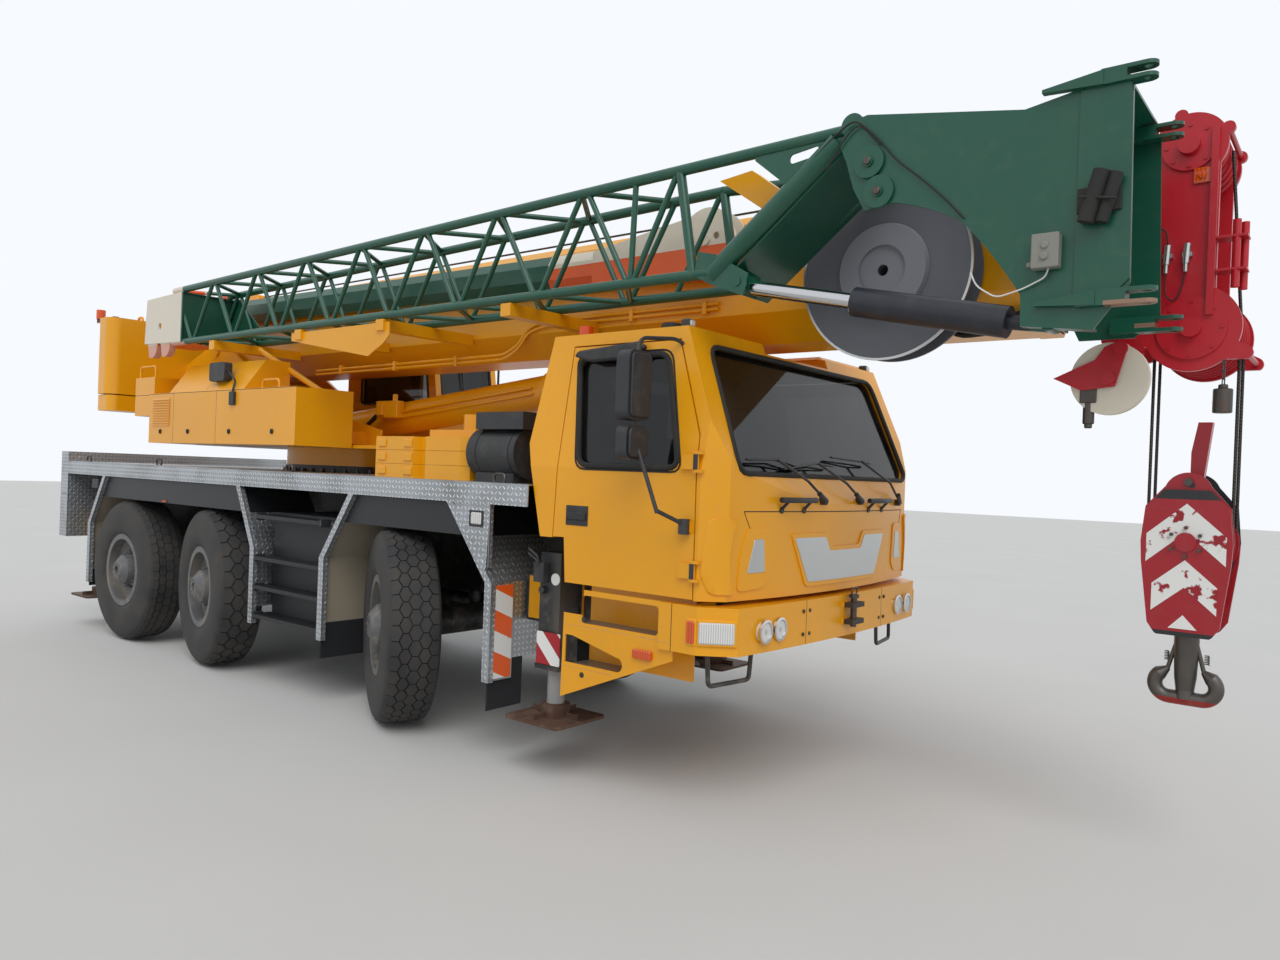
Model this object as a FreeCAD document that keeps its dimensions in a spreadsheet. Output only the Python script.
"""Three-axle all-terrain mobile crane, stowed for the road, with its wheels steered to the right.

Millimetres. +X is the way it drives, +Y its left side, +Z up. The origin lies on the ground under
the middle of its length and width.
"""
import FreeCAD, Part

import math
import os

from FreeCAD import Placement, Rotation, Vector

document = FreeCAD.newDocument("MobileCrane")

# Every driving dimension: name, millimetres or degrees, what it is.
SIZES = (
    ("half_width", 1275, "centre line to the side of the deck"),
    ("rear_end_x", -5390, "rear face of the tail locker"),
    ("axle_1_x", 470, "front axle"),
    ("axle_2_x", -2185, "middle axle"),
    ("axle_3_x", -3835, "rear axle"),
    ("tyre_diameter", 1370, "over the tread"),
    ("tyre_width", 385, "sidewall to sidewall"),
    ("tyre_bore", 640, "bead seat diameter"),
    ("bead_width", 308, "over the tyre's beads"),
    ("rim_flange", 710, "diameter over the rim's flange"),
    ("rim_wall", 14, "thickness of the rim"),
    ("hub_diameter", 300, "planetary hub cover"),
    ("wheel_y", 1080, "centre line to the middle of a wheel steered straight"),
    ("kingpin_y", 960, "centre line to the steering axis"),
    ("hub_back_y", 1055, "centre line to the back of a wheel's hub"),
    ("kingpin_gap", 300, "height between the yoke's two arms"),
    ("yoke_plate", 45, "thickness of a yoke arm"),
    ("axle_tube", 210, "diameter of the axle beam"),
    ("nose_reach", 275, "axle to the flange of its drive shaft"),
    ("shaft_z", 750, "height of the drive shafts"),
    ("pin_clearance", 0.3, "radial play of a pin in its eye"),
    ("seat_gap", 0.3, "play between faces that slide on each other"),
    ("frame_half_width", 420, "centre line to the outside of the frame rails"),
    ("rail_width", 110, "width of a frame rail"),
    ("frame_bottom_z", 880, "underside of the main rails"),
    ("frame_top_z", 1400, "top of the main rails"),
    ("nose_top_z", 1120, "top of the rails under the cab"),
    ("nose_start_x", 2060, "where the rails drop for the cab"),
    ("frame_rear_x", -5200, "rear end of the rails"),
    ("frame_front_x", "=bumper_front_x - 250", "front end of the rails"),
    ("deck_top_z", 1738, "top of the deck"),
    ("deck_plate", 8, "thickness of the chequer plate"),
    ("edge_height", 135, "height of the deck's folded edge"),
    ("deck_rear_x", -5198, "rear end of the deck"),
    ("deck_front_x", 1885, "front end of the deck"),
    ("valance_bottom_z", 1390, "lower edge of the black skirts over the wheels"),
    ("skin", 4, "thickness of thin sheet metal"),
    ("leg_width", 62, "width of a side frame's leg"),
    ("leg_depth", 40, "depth of a side frame's leg"),
    ("leg_foot_z", 490, "lower end of a side frame's leg"),
    ("wall_plate", 5, "sheet between a wheel and the next leg"),
    ("wall_foot_z", 620, "lower end of that sheet"),
    ("wall_inner_y", 620, "centre line to the inner edge of that sheet"),
    ("board_inner_y", 1075, "centre line to the inner edge of the board that faces forward"),
    ("skirt_gap", 12, "room between a skirt and the sheets at its ends"),
    ("slew_x", -1710, "axis that the upper works turn about"),
    ("ring_diameter", 1300, "slewing ring"),
    ("ring_split_z", 1800, "joint of the slewing ring"),
    ("table_bottom_z", 1952, "underside of the turntable"),
    ("table_plate", 28, "thickness of the turntable's floor"),
    ("cheek_y", 430, "centre line to the outside of the turntable's side plates"),
    ("cheek_plate", 30, "thickness of the turntable's side plates"),
    ("tail_x", -4400, "front face of the counterweight"),
    ("tail_clear_z", 2215, "lowest point of what passes over the deck's load"),
    ("luff_x", -3710, "boom foot pin"),
    ("luff_z", 2950, "boom foot pin"),
    ("luff_pin", 120, "diameter of the boom foot pin"),
    ("ram_x", -2000, "foot pin of the luffing cylinder"),
    ("ram_z", 2160, "foot pin of the luffing cylinder"),
    ("ram_eye_x", 1190, "rod eye of the luffing cylinder"),
    ("ram_eye_z", 2480, "rod eye of the luffing cylinder"),
    ("ram_tube", 280, "outside diameter of the luffing cylinder"),
    ("ram_rod", 190, "diameter of its rod"),
    ("ram_pin", 110, "diameter of its pins"),
    ("boom_half_width", 360, "centre line to the side of the outer section"),
    ("boom_bottom_z", 2665, "underside of the outer section"),
    ("boom_top_z", 3450, "top of the outer section"),
    ("boom_rear_x", -4010, "rear end of the outer section"),
    ("boom_front_x", 4500, "front end of the outer section"),
    ("boom_wall", 10, "plate of the boom sections"),
    ("boom_step", 27, "how much each section is smaller all round"),
    ("boom_stagger", 55, "how far each section stands out of the next larger one"),
    ("boom_bevel", 170, "bevel at the boom's lower corners"),
    ("boom_chamfer", 60, "bevel at the boom's upper corners"),
    ("head_half_width", 250, "centre line to the outside of the head's plates"),
    ("head_plate", 30, "thickness of the head's plates"),
    ("head_front_x", 5410, "tip of the lugs in front of the head"),
    ("sheave_x", 5165, "axis of the lower head sheaves"),
    ("sheave_z", 2600, "axis of the lower head sheaves"),
    ("top_sheave_x", 5130, "axis of the upper head sheaves"),
    ("top_sheave_z", 3450, "axis of the upper head sheaves"),
    ("sheave_diameter", 380, "lower head sheaves and the block's sheaves"),
    ("top_sheave_diameter", 290, "upper head sheaves"),
    ("sheave_width", 46, "head sheaves"),
    ("groove_depth", 22, "depth of a sheave's groove"),
    ("rope", 15, "hoist rope diameter"),
    ("block_top_z", 1933, "top of the hook block"),
    ("block_sheave_drop", 330, "top of the hook block to its sheaves' shaft"),
    ("block_bottom_z", 1157, "bottom of the hook block's plates"),
    ("hook_bottom_z", 805, "lowest point of the hook"),
    ("ram_dead_end", 300, "foot pin to the piston of the closed cylinder"),
    ("ram_neck", 280, "rod eye to the end of the closed cylinder's barrel"),
    ("cab_half_width", "=half_width - 35", "centre line to the door skin"),
    ("cab_wall", 45, "thickness of the cab's walls and doors"),
    ("cab_front_x", "=bumper_front_x - 40", "front of the cab at its middle"),
    ("cab_roof_z", 2637, "top of the cab's roof"),
    ("cab_floor_z", 1175, "underside of the cab's front part"),
    ("trough_half_width", 400, "half width of the dip in the roof"),
    ("trough_depth", 62, "depth of the dip in the roof"),
    ("glass", 6, "thickness of a pane"),
    ("door_gap", 8, "shut line round a door"),
    ("hinge_x", 3100, "axis of the cab doors' hinges"),
    ("hinge_y", "=cab_half_width + 16", "axis of the cab doors' hinges"),
    ("hinge_pin", 16, "pin of the cab doors' hinges"),
    ("hinge_length", 80, "length of a hinge's knuckle"),
    ("bumper_front_x", 3380, "front of the bumper at its middle"),
    ("bumper_top_z", 1150, "top of the bumper"),
    ("bumper_bottom_z", 900, "underside of the bumper"),
    ("step_depth", 240, "depth of the steps beside the bumper"),
    ("upper_step_z", 930, "upper step"),
    ("lower_step_z", 690, "lower step"),
    ("tow_pin", 40, "bore of the tow jaw"),
    ("lamp_z", 1015, "centre of the bumper's lamps"),
    ("lamp_diameter", 105, "round lamps"),
    ("jack_y", 1060, "centre line to a stowed outrigger jack"),
    ("front_jack_x", 1975, "front outrigger beam on the right"),
    ("rear_jack_x", -4780, "rear outrigger beam on the right"),
    ("beam_pitch", 270, "distance between the left and the right outrigger beam"),
    ("beam_width", 210, "outrigger beam"),
    ("beam_height", 270, "outrigger beam"),
    ("beam_z", 1010, "middle of the outrigger beams"),
    ("beam_inner_y", 950, "how far a stowed beam reaches past the centre line"),
    ("box_wall", 16, "wall of the outrigger boxes"),
    ("jack_tube", 170, "outside of a jack's housing"),
    ("jack_rod", 110, "diameter of a jack's rod"),
    ("pad_size", 450, "side of a jack's foot plate"),
    ("pad_bottom_z", 315, "underside of a stowed foot plate"),
    ("rest_1_x", -2300, "bracket under the stowed jib"),
    ("rest_2_x", 1500, "bracket under the stowed jib"),
    ("reel_y", 600, "centre line to the outside of the hose reel"),
    ("reel_x", 3790, "axis of the hose reel"),
    ("reel_z", 2950, "axis of the hose reel"),
    ("reel_diameter", 940, "hose reel"),
    ("jib_outer_y", 1200, "centre line to the outside of the stowed jib"),
    ("jib_inner_y", 560, "centre line to the inside of the stowed jib"),
    ("jib_plate", 14, "plate of the jib's head piece"),
    ("chord", 60, "diameter of the lattice chords"),
    ("brace", 34, "diameter of the lattice braces"),
    ("lattice_rear_x", -3060, "rear end of the lattice"),
    ("lattice_front_x", 2533, "front node of the lattice's braces"),
    ("lattice_pitch", 745, "distance between two nodes of a chord"),
    ("lattice_inner_y", 710, "centre line to the inside of the lattice"),
    ("strut_x", 3090, "foot of the struts between the lattice and its head piece"),
    ("lattice_top_z", 3445, "axis of the upper chords"),
    ("lattice_low_z", 2900, "axis of the lower chords"),
    ("weight_rear_x", -4960, "rear face of the counterweight"),
    ("operator_cab_x", -1160, "front of the operator's cab"),
)


class Size(float):
    """A number that also keeps, as text, how it follows from the sheet's cells."""

    def __new__(cls, value, text):
        number = float.__new__(cls, value)
        number.text = text
        return number

    def __add__(self, other):
        return Size(float(self) + float(other), f"({text_of(self)} + {text_of(other)})")

    def __radd__(self, other):
        return Size(float(other) + float(self), f"({text_of(other)} + {text_of(self)})")

    def __sub__(self, other):
        return Size(float(self) - float(other), f"({text_of(self)} - {text_of(other)})")

    def __rsub__(self, other):
        return Size(float(other) - float(self), f"({text_of(other)} - {text_of(self)})")

    def __mul__(self, other):
        return Size(float(self) * float(other), f"({text_of(self)} * {text_of(other)})")

    def __rmul__(self, other):
        return Size(float(other) * float(self), f"({text_of(other)} * {text_of(self)})")

    def __truediv__(self, other):
        return Size(float(self) / float(other), f"({text_of(self)} / {text_of(other)})")

    def __neg__(self):
        return Size(-float(self), f"(0 - {text_of(self)})")


def text_of(value):
    """The expression behind a number, or the number itself."""
    return value.text if isinstance(value, Size) else repr(float(value))


class Sizes:
    """The sheet of driving dimensions: each cell is read back as an attribute."""

    def __init__(self, table):
        sheet = document.addObject("Spreadsheet::Sheet", "Sizes")
        for row, (name, value, meaning) in enumerate(table, start=1):
            sheet.set(f"A{row}", meaning)
            sheet.set(f"B{row}", str(value))
            sheet.setAlias(f"B{row}", name)
        document.recompute()
        for name, _, _ in table:
            setattr(self, name, Size(float(getattr(sheet, name)), f"Sizes.{name}"))


s = Sizes(SIZES)


def bind(feature, **values):
    """Set properties, each by an expression where the value comes from the sheet."""
    for name, value in values.items():
        if isinstance(value, Size):
            feature.setExpression(name, value.text)
        else:
            setattr(feature, name, value)
    return feature


def put(feature, x, y, z, rotation=Rotation()):
    """Place a feature, its position bound to the sheet."""
    feature.Placement = Placement(Vector(x, y, z), rotation)
    for axis, value in zip("xyz", (x, y, z)):
        if isinstance(value, Size):
            feature.setExpression(f"Placement.Base.{axis}", value.text)
    return feature


def block(x, y, z):
    """A box between two values on each axis."""
    feature = document.addObject("Part::Box", "Block")
    bind(feature, Length=x[1] - x[0], Width=y[1] - y[0], Height=z[1] - z[0])
    return put(feature, x[0], y[0], z[0])


TURNS = {
    "x": Rotation(Vector(0, 1, 0), 90),
    "y": Rotation(Vector(1, 0, 0), -90),
    "z": Rotation(),
}


def rod(axis, start, end, centre, diameter):
    """A cylinder along an axis; centre holds the other two coordinates, in X, Y, Z order."""
    feature = document.addObject("Part::Cylinder", "Rod")
    bind(feature, Radius=diameter / 2, Height=end - start)
    place = list(centre)
    place.insert("xyz".index(axis), start)
    return put(feature, *place, TURNS[axis])


def solid(shape):
    """A feature that carries a ready shape."""
    feature = document.addObject("Part::Feature", "Form")
    feature.Shape = shape
    return feature


def link(start, end, diameter):
    """A straight round bar between two points."""
    run = Vector(*end) - Vector(*start)
    return solid(Part.makeCylinder(diameter / 2, run.Length, Vector(*start), run))


PLANES = {
    "xz": lambda u, v, w: Vector(u, w, v),
    "xy": lambda u, v, w: Vector(u, v, w),
    "yz": lambda u, v, w: Vector(w, u, v),
}


def outline(plane, points, level):
    """A closed wire through points of a plane; a point with a third value is the middle of an arc."""
    at = PLANES[plane]
    edges = []
    corners = [p for p in points if len(p) == 2]
    count = len(points)
    first = points.index(corners[0])
    ordered = points[first:] + points[:first]
    index = 0
    while index < count:
        here = ordered[index]
        ahead = ordered[(index + 1) % count]
        if len(ahead) == 3:
            beyond = ordered[(index + 2) % count]
            arc = Part.Arc(at(*here[:2], level), at(*ahead[:2], level), at(*beyond[:2], level))
            edges.append(arc.toShape())
            index += 2
        else:
            edges.append(Part.makeLine(at(*here[:2], level), at(*ahead[:2], level)))
            index += 1
    return Part.Wire(edges)


def rounded(points, radius):
    """The same outline with every corner rounded to one radius."""
    rows = []
    for index, corner in enumerate(points):
        here = Vector(*corner, 0)
        behind = (Vector(*points[index - 1], 0) - here).normalize()
        ahead = (Vector(*points[(index + 1) % len(points)], 0) - here).normalize()
        half = behind.getAngle(ahead) / 2
        reach = radius / math.tan(half)
        middle = here + (behind + ahead).normalize() * (radius / math.sin(half) - radius)
        rows.append(tuple(here + behind * reach)[:2])
        rows.append((middle.x, middle.y, 0))
        rows.append(tuple(here + ahead * reach)[:2])
    return rows


NORMALS = {"xz": Vector(0, 1, 0), "xy": Vector(0, 0, 1), "yz": Vector(1, 0, 0)}


def prism(plane, points, low, high):
    """An outline pulled straight between two levels along its plane's normal."""
    face = document.addObject("Part::Feature", "Outline")
    face.Shape = Part.Face(outline(plane, points, low))
    feature = document.addObject("Part::Extrusion", "Prism")
    feature.Base = face
    feature.DirMode = "Custom"
    feature.Dir = NORMALS[plane]
    feature.Solid = True
    return bind(feature, LengthFwd=high - low)


def revolve(axis, profile, centre):
    """A turned piece: profile rows hold the distance along the axis and the radius."""
    points = [Vector(along, radius, 0) for along, radius in profile]
    face = Part.Face(Part.makePolygon(points + points[:1]))
    turned = face.revolve(Vector(), Vector(1, 0, 0), 360)
    turn = {"x": Rotation(), "y": Rotation(Vector(0, 0, 1), 90), "z": Rotation(Vector(0, 1, 0), -90)}
    turned.Placement = Placement(Vector(*centre), turn[axis])
    return solid(turned)


def fuse(*features):
    """Pieces that are welded or cast together."""
    feature = document.addObject("Part::MultiFuse", "Welded")
    feature.Shapes = list(features)
    feature.Refine = True
    return feature


def weld_on(frame, groups):
    """A frame of bars, welded first, and the groups of pieces that are then welded onto it."""
    document.recompute()
    bars = [feature.Shape for feature in frame]
    welded = bars[0].multiFuse(bars[1:])
    for pieces in groups:
        ready = pieces[0].Shape
        for piece in pieces[1:]:
            ready = ready.fuse(piece.Shape)
        welded = welded.fuse(ready)
    return solid(welded)


def cut(base, *tools):
    """A piece with others taken out of it."""
    feature = document.addObject("Part::Cut", "Trimmed")
    feature.Base = base
    feature.Tool = tools[0] if len(tools) == 1 else fuse(*tools)
    return feature


def common(first, second):
    """What two pieces share."""
    feature = document.addObject("Part::Common", "Shared")
    feature.Base = first
    feature.Tool = second
    return feature


def group(*features):
    """Like pieces on one body that don't touch each other."""
    feature = document.addObject("Part::Compound", "Group")
    feature.Links = list(features)
    return feature


def mirrored(feature):
    """The same piece on the other side of the crane."""
    twin = document.addObject("Part::Mirroring", "Twin")
    twin.Source = feature
    twin.Normal = Vector(0, 1, 0)
    return twin


def both(feature):
    """A piece and its twin on the left side."""
    return [feature, mirrored(feature)]


parts = {}


def sub_part(name, feature):
    """Name a finished piece; the name is its file's name too."""
    feature.Label = name
    parts[name] = feature
    return feature


# Wheels and axles: number, place along the crane, and how far its right and left wheels are
# steered in degrees; negative is to the right.
AXLES = ((1, s.axle_1_x, -28, -23), (2, s.axle_2_x, -10.5, -9), (3, s.axle_3_x, 0, 0))
WHEEL_Z = s.tyre_diameter / 2


def tyre_profile():
    """Half width and radius rows of the tyre, round to the bead."""
    half = s.tyre_width / 2
    outer = s.tyre_diameter / 2
    bead = s.tyre_bore / 2
    seat = s.bead_width / 2
    lip = s.rim_flange / 2 + 4
    side = ((seat, bead), (seat, lip), (half * 0.97, lip + 50), (half, bead + 165), (half * 0.93, outer - 70),
            (half * 0.82, outer - 18), (half * 0.6, outer))
    return [(-along, radius) for along, radius in side] + list(reversed(side))


def tyre(side):
    """The tyre about the wheel's own axis; side is -1 on the right and 1 on the left."""
    return revolve("y", tyre_profile(), (0, side * s.wheel_y, WHEEL_Z))


def rim(side):
    """Rim barrel, dished disc with hand holes, and the planetary hub cover, which faces out."""
    half = s.bead_width / 2 + s.seat_gap
    seat = s.tyre_bore / 2 - s.pin_clearance
    flange = s.rim_flange / 2
    wall = s.rim_wall
    hub = s.hub_diameter / 2
    back = s.hub_back_y - s.wheel_y
    profile = (
        (-half - wall, flange), (-half - wall, seat - wall), (back + 90, seat - wall), (back + 70, 230),
        (back + 80, hub + 5), (back, hub - 20), (back, 40), (half * 1.4, 40), (half * 1.4, hub * 0.55),
        (half * 1.05, hub * 0.95), (back + 80 + wall, hub + 10), (back + 70 + wall, 235),
        (back + 90 + wall, seat - wall * 1.4), (half + wall, seat - wall), (half + wall, flange),
        (half, flange), (half, seat), (-half, seat), (-half, flange),
    )
    rows = [(side * along, radius) for along, radius in profile]
    body = revolve("y", rows, (0, side * s.wheel_y, WHEEL_Z))
    holes = []
    for step in range(8):
        angle = math.radians(45 * step + 22.5)
        x, z = 190 * math.sin(angle), WHEEL_Z + 190 * math.cos(angle)
        low = side * s.wheel_y - half
        holes.append(rod("y", low, low + 2 * half, (x, z), 40))
    return cut(body, *holes)


def knuckle(side):
    """Swivel housing between the yoke's arms, with its pins and the stub axle that the hub turns on."""
    centre = side * s.kingpin_y
    reach = (s.kingpin_gap - 2 * s.seat_gap) / 2
    barrel = rod("z", WHEEL_Z - reach, WHEEL_Z + reach, (0, centre), 170)
    pin = rod("z", WHEEL_Z - reach - s.yoke_plate, WHEEL_Z + reach + s.yoke_plate, (0, centre), 60)
    near = side * (s.kingpin_y + 10)
    far = side * (s.wheel_y + 40)
    stub = rod("y", min(near, far), max(near, far), (0, WHEEL_Z), 80 - 2 * s.pin_clearance)
    arm = block((-s.kingpin_gap * 0.75, 0), (centre - 35, centre + 35),
                (WHEEL_Z - 35, WHEEL_Z + 35))
    return fuse(barrel, pin, stub, arm)


def steer(feature, x, side, degrees):
    """Turn a wheel's piece about its own steering axis, and put it on its axle."""
    moved = document.addObject("Part::Compound", "Steered")
    moved.Links = [feature]
    pivot = Vector(0, side * s.kingpin_y, 0)
    turn = Placement(Vector(), Rotation(Vector(0, 0, 1), degrees), pivot)
    moved.Placement = Placement(Vector(x, 0, 0), Rotation()).multiply(turn)
    return moved


def build_wheels():
    for number, x, right, left in AXLES:
        for side, word, degrees in ((-1, "right", right), (1, "left", left)):
            sub_part(f"tyre_{number}_{word}", steer(tyre(side), x, side, degrees))
            sub_part(f"rim_{number}_{word}", steer(rim(side), x, side, degrees))
            sub_part(f"knuckle_{number}_{word}", steer(knuckle(side), x, side, degrees))


def axle(x, nose_back, nose_front):
    """Axle beam with its differential and a yoke at each end."""
    end = s.kingpin_y - 130
    beam = rod("y", -end, end, (x, WHEEL_Z), s.axle_tube)
    bowl = revolve("y", ((-170, 60), (-140, 170), (-60, 230), (60, 230), (140, 170), (170, 60)),
                   (x, -90, WHEEL_Z))
    pieces = [beam, bowl]
    if nose_back:
        pieces.append(rod("x", x - s.nose_reach, x, (-90, s.shaft_z), 120))
    if nose_front:
        pieces.append(rod("x", x, x + s.nose_reach, (-90, s.shaft_z), 120))
    outer = s.kingpin_gap / 2
    for side in (-1, 1):
        y = (side * (s.kingpin_y + 45), side * (end - 20))
        y = (min(y), max(y))
        for direction in (-1, 1):
            z = (WHEEL_Z + direction * outer, WHEEL_Z + direction * (outer + s.yoke_plate))
            pieces.append(block((x - 65, x + 65), y, (min(z), max(z))))
        web = (side * (end - 20), side * end)
        pieces.append(block((x - 65, x + 65), (min(web), max(web)), (WHEEL_Z - outer, WHEEL_Z + outer)))
    holes = []
    for side in (-1, 1):
        holes.append(rod("z", WHEEL_Z - 250, WHEEL_Z + 250, (x, side * s.kingpin_y),
                         60 + 2 * s.pin_clearance))
    pads = []
    for side in (-1, 1):
        y = side * (s.frame_half_width - s.rail_width / 2)
        pads.append(rod("z", WHEEL_Z, s.frame_bottom_z, (x - 60, y), 90))
    return cut(fuse(*pieces, *pads), *holes)


def build_axles():
    noses = ((True, False), (True, True), (False, True))
    sub_part("axles", group(*[axle(row[1], *nose) for row, nose in zip(AXLES, noses)]))


# Outriggers: place, along X of the right beam's middle.
OUTRIGGERS = (("front", s.front_jack_x), ("rear", s.rear_jack_x))


def beam_space(x, clearance):
    """The channel that an outrigger beam slides in."""
    half = s.beam_width / 2 + clearance
    tall = s.beam_height / 2 + clearance
    return (x - half, x + half), (s.beam_z - tall, s.beam_z + tall)


def outrigger_box(x):
    """The two open boxes, side by side across the frame, that hold the left and right beams."""
    right_x, z = beam_space(x, s.seat_gap)
    left_x, _ = beam_space(x - s.beam_pitch, s.seat_gap)
    reach = s.jack_y - s.jack_tube / 2 - 25
    body = block((left_x[0] - s.box_wall, right_x[1] + s.box_wall), (-reach, reach),
                 (z[0] - s.box_wall, z[1] + s.box_wall))
    return body, [block(right_x, (-reach, reach), z), block(left_x, (-reach, reach), z)]


def build_chassis():
    """Two box rails with cross members, the outrigger boxes and the fixed half of the slewing ring."""
    rails = []
    for side in (-1, 1):
        edge = (side * (s.frame_half_width - s.rail_width), side * s.frame_half_width)
        y = (min(edge), max(edge))
        rails.append(block((s.frame_rear_x, s.nose_start_x), y, (s.frame_bottom_z, s.frame_top_z)))
        rails.append(block((s.frame_rear_x, s.frame_front_x), y, (s.frame_bottom_z, s.nose_top_z)))
    inner = s.frame_half_width - s.rail_width
    for x in (s.rear_jack_x + 420, s.axle_3_x + 800, s.slew_x - 560, s.slew_x + 560, s.axle_1_x - 520,
              s.axle_1_x + 780, s.nose_start_x + 500, s.frame_front_x - 60):
        low = s.frame_bottom_z + 60
        rails.append(block((x, x + 60), (-inner, inner), (low, low + 160)))
    spaces = []
    for _, x in OUTRIGGERS:
        body, channels = outrigger_box(x)
        rails.append(body)
        spaces.extend(channels)
    for x in (2300, 3000):
        mount = block((x, x + 90), (-s.frame_half_width, -s.frame_half_width + s.rail_width),
                      (s.nose_top_z, s.cab_floor_z))
        rails += both(mount)
    ring_low = rod("z", s.frame_top_z, s.ring_split_z - s.seat_gap, (s.slew_x, 0),
                   s.ring_diameter)
    rails.append(ring_low)
    bore = rod("z", s.frame_top_z - 10, s.ring_split_z + 10, (s.slew_x, 0),
               s.ring_diameter - 360)
    sub_part("chassis", cut(fuse(*rails), *spaces, bore))


def build_deck():
    """Chequer plate deck with folded edges, open round the slewing ring, and the locker at its tail."""
    top = (s.deck_top_z - s.deck_plate, s.deck_top_z)
    plate = block((s.deck_rear_x, s.deck_front_x), (-s.half_width, s.half_width), top)
    hole = rod("z", s.deck_top_z - 50, s.deck_top_z + 50, (s.slew_x, 0), s.ring_diameter + 60)
    edges = []
    for side in (-1, 1):
        y = (side * (s.half_width - s.deck_plate), side * s.half_width)
        edges.append(block((s.deck_rear_x, s.deck_front_x), (min(y), max(y)),
                           (s.deck_top_z - s.edge_height, s.deck_top_z)))
    locker = block((s.rear_end_x, s.frame_rear_x), (-s.half_width, s.half_width), (920, 1840))
    sub_part("deck", group(cut(fuse(plate, *edges), hole), locker))


# Side frames of chequer plate: foot, bend and top of each leg along X, seen from the right.
LEGS = (
    (-4595, -4595, -4260),
    (-1300, -1300, -1560),
    (-290, -290, 60),
    (1563, 1563, 1165),
)
LEG_BEND_Z = 1110


def leg_outline(row, width, low_z, top_z):
    """A leg's or a wall's outline: upright below, and leaning above the bend."""
    foot, bend, top = row
    half = width / 2
    head = s.deck_top_z - s.edge_height
    return [(foot - half, low_z), (foot + half, low_z), (bend + half, LEG_BEND_Z), (top + half, head),
            (top + half, top_z), (top - half, top_z), (top - half, head), (bend - half, LEG_BEND_Z)]


def leg_x(row, z):
    """Where a leg's centre line lies at a height above the bend."""
    head = s.deck_top_z - s.edge_height
    return row[1] + (row[2] - row[1]) * ((z - LEG_BEND_Z) / (head - LEG_BEND_Z))


def side_frame(row):
    """A leg with the sheet behind it that closes the wheel's space."""
    outside = leg_outline(row, s.leg_width, s.leg_foot_z, s.deck_top_z - s.edge_height / 2)
    behind = prism("xz", outside, -s.half_width + s.deck_plate, -s.half_width + s.leg_depth)
    front = prism("xz", outside[:4] + outside[6:], -s.half_width, -s.half_width + s.leg_depth)
    wall = prism("xz", leg_outline(row, s.wall_plate, s.wall_foot_z, s.deck_top_z - s.deck_plate),
                 -s.half_width + 15, -s.wall_inner_y)
    return [behind, front, wall]


def valance(first, last):
    """Black skirt over the wheels between two legs, on arms that stand on the frame rails."""
    head = s.deck_top_z - s.deck_plate
    outer = s.half_width - s.leg_depth - 2
    bend = s.deck_top_z - s.edge_height
    low = (leg_x(first, s.valance_bottom_z) + s.skirt_gap, leg_x(last, s.valance_bottom_z) - s.skirt_gap)
    high = (first[2] + s.skirt_gap, last[2] - s.skirt_gap)
    skirt = [(low[0], s.valance_bottom_z), (low[1], s.valance_bottom_z), (high[1], bend), (high[1], head),
             (high[0], head), (high[0], bend)]
    pieces = [prism("xz", skirt, -outer, -outer + s.skin)]
    for x in (high[0] + 20, (high[0] + high[1]) / 2, high[1] - 80):
        pieces.append(block((x, x + 60), (-outer, -s.frame_half_width + s.rail_width),
                            (s.frame_top_z, head)))
    return fuse(*pieces)


def steps():
    """The two middle legs with the step boards and the black box between them."""
    outer = s.half_width - s.leg_depth - 2
    low, high = LEGS[1][0], LEGS[2][0]
    half = s.leg_width / 2
    pieces = [*side_frame(LEGS[1]), *side_frame(LEGS[2]), flap(LEGS[2], 350, 880)]
    pieces.append(block((low + 60, high - 60), (-outer + 120, -s.frame_half_width - 60),
                        (s.leg_foot_z, s.frame_top_z)))
    for height in (540, 775, 1010, 1350):
        pieces.append(block((low + half - 1, high - half + 1), (-s.half_width + 4, -outer + 122),
                            (height, height + 30)))
    for x in (low + 200, high - 290):
        pieces.append(block((x, x + 80), (-s.frame_half_width - 60, -s.frame_half_width), (950, 1300)))
    return fuse(*pieces)


def front_frame():
    """The leg behind the cab, with its triangular gusset and the board that faces forward."""
    foot, _, top = LEGS[3]
    head = s.deck_top_z - s.edge_height
    half = s.leg_width / 2
    gusset = prism("xz", [(top + half - 2, head), (top + half - 2, head + 60), (foot - 15, head + 60),
                          (foot - 15, head), (foot - 36, 1200), (foot - 50, 1195)],
                   -s.half_width + s.deck_plate, -s.half_width + s.deck_plate + 5)
    flange = block((foot - 20, foot - 15), (-s.half_width + s.deck_plate, -s.half_width + s.leg_depth),
                   (1205, head + 60))
    board = block((foot + half - 8, foot + half - 4), (-s.half_width + 6, -s.board_inner_y),
                  (s.leg_foot_z + 8, LEG_BEND_Z - 8))
    return [*side_frame(LEGS[3]), gusset, flange, board]


def flap(row, low, inner_y):
    """Mud flap that hangs from the foot of a leg's sheet."""
    x = row[0]
    return block((x - s.wall_plate, x + s.wall_plate), (-s.half_width + 20, -inner_y), (low, s.wall_foot_z + 40))


def build_fenders():
    """Side frames, skirts, wheel walls, steps and mud flaps of both sides."""
    ring_room = rod("z", s.frame_top_z, s.deck_top_z, (s.slew_x, 0), s.ring_diameter + 40)
    rear = cut(valance(LEGS[0], LEGS[1]), ring_room)
    front = valance(LEGS[2], LEGS[3])
    rear_frame = fuse(*side_frame(LEGS[0]), flap(LEGS[0], 450, 880))
    pieces = [*both(rear), *both(front), *both(rear_frame), *both(cut(steps(), ring_room))]
    pieces.append(fuse(*front_frame(), flap(LEGS[3], 310, 960)))
    pieces.append(mirrored(fuse(*front_frame(), flap(LEGS[3], 430, 960))))
    sub_part("fenders", group(*pieces))


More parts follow.
